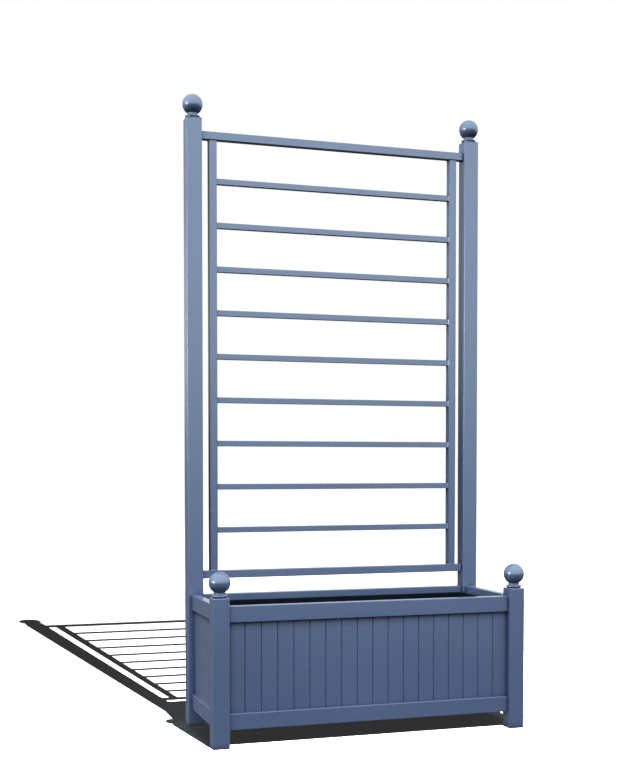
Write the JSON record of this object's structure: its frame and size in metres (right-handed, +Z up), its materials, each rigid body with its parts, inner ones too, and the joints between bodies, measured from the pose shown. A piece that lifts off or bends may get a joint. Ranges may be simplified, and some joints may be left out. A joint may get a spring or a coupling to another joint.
{
  "type": "planter with trellis",
  "caption": "Rectangular metal planter on square corner posts with ball finials, a lift-out liner, and a tall barred trellis at the back for climbing plants.",
  "frame": {"origin": "on the ground, under the middle of the box", "axes": "+X to the right as seen from the front, +Y from the front to the trellis at the back, +Z up along the posts"},
  "size_m": [1.014, 0.414, 1.9919],
  "materials": {
    "frame_paint": "satin powder coat, grey-blue",
    "panel_paint": "satin powder coat, grey-blue",
    "rivet_paint": "satin paint over the rivets' heads",
    "base_paint": "satin powder coat, grey-blue",
    "foot_plastic": "matt black moulding",
    "liner_plastic": "matt black moulding",
    "zinc_steel": "zinc plated"
  },
  "bodies": {
    "frame": {"post_front_left": "frame_paint", "post_front_right": "frame_paint", "post_rear_left": "frame_paint", "post_rear_right": "frame_paint", "post_cap_front_left": "frame_paint", "post_cap_front_right": "frame_paint", "post_cap_rear_left": "frame_paint", "post_cap_rear_right": "frame_paint", "finial_front_left": "frame_paint", "finial_front_right": "frame_paint", "finial_rear_left": "frame_paint", "finial_rear_right": "frame_paint", "top_rail_front": "frame_paint", "top_rail_right": "frame_paint", "top_rail_rear": "frame_paint", "top_rail_left": "frame_paint", "bottom_rail_front": "frame_paint", "bottom_rail_right": "frame_paint", "bottom_rail_rear": "frame_paint", "bottom_rail_left": "frame_paint", "panel_front": "panel_paint", "panel_right": "panel_paint", "panel_rear": "panel_paint", "panel_left": "panel_paint", "base_bearer_1": "base_paint", "base_bearer_2": "base_paint", "base_bearer_3": "base_paint", "base_sheet": "base_paint", "trellis_top_rail": "frame_paint", "trellis_bottom_rail": "frame_paint", "trellis_stile_left": "frame_paint", "trellis_stile_right": "frame_paint", "trellis_rung_1": "frame_paint", "trellis_rung_2": "frame_paint", "trellis_rung_3": "frame_paint", "trellis_rung_4": "frame_paint", "trellis_rung_5": "frame_paint", "trellis_rung_6": "frame_paint", "trellis_rung_7": "frame_paint", "trellis_rung_8": "frame_paint", "trellis_rung_9": "frame_paint", "rail_rivets": "rivet_paint", "panel_rivets": "rivet_paint", "trellis_rivets": "rivet_paint", "foot_plug_front_left": "foot_plastic", "foot_plug_front_right": "foot_plastic", "foot_plug_rear_left": "foot_plastic", "foot_plug_rear_right": "foot_plastic", "finial_studs": "zinc_steel", "rail_blocks": "zinc_steel", "block_screws": "zinc_steel", "trellis_blocks": "zinc_steel", "trellis_screws": "zinc_steel"},
    "liner": {"liner": "liner_plastic"}
  },
  "joints": [
    {"name": "liner_lift", "type": "slide", "parent": "frame", "child": "liner", "axis": [0, 0, 1], "range_m": [0, 0.45]}
  ]
}
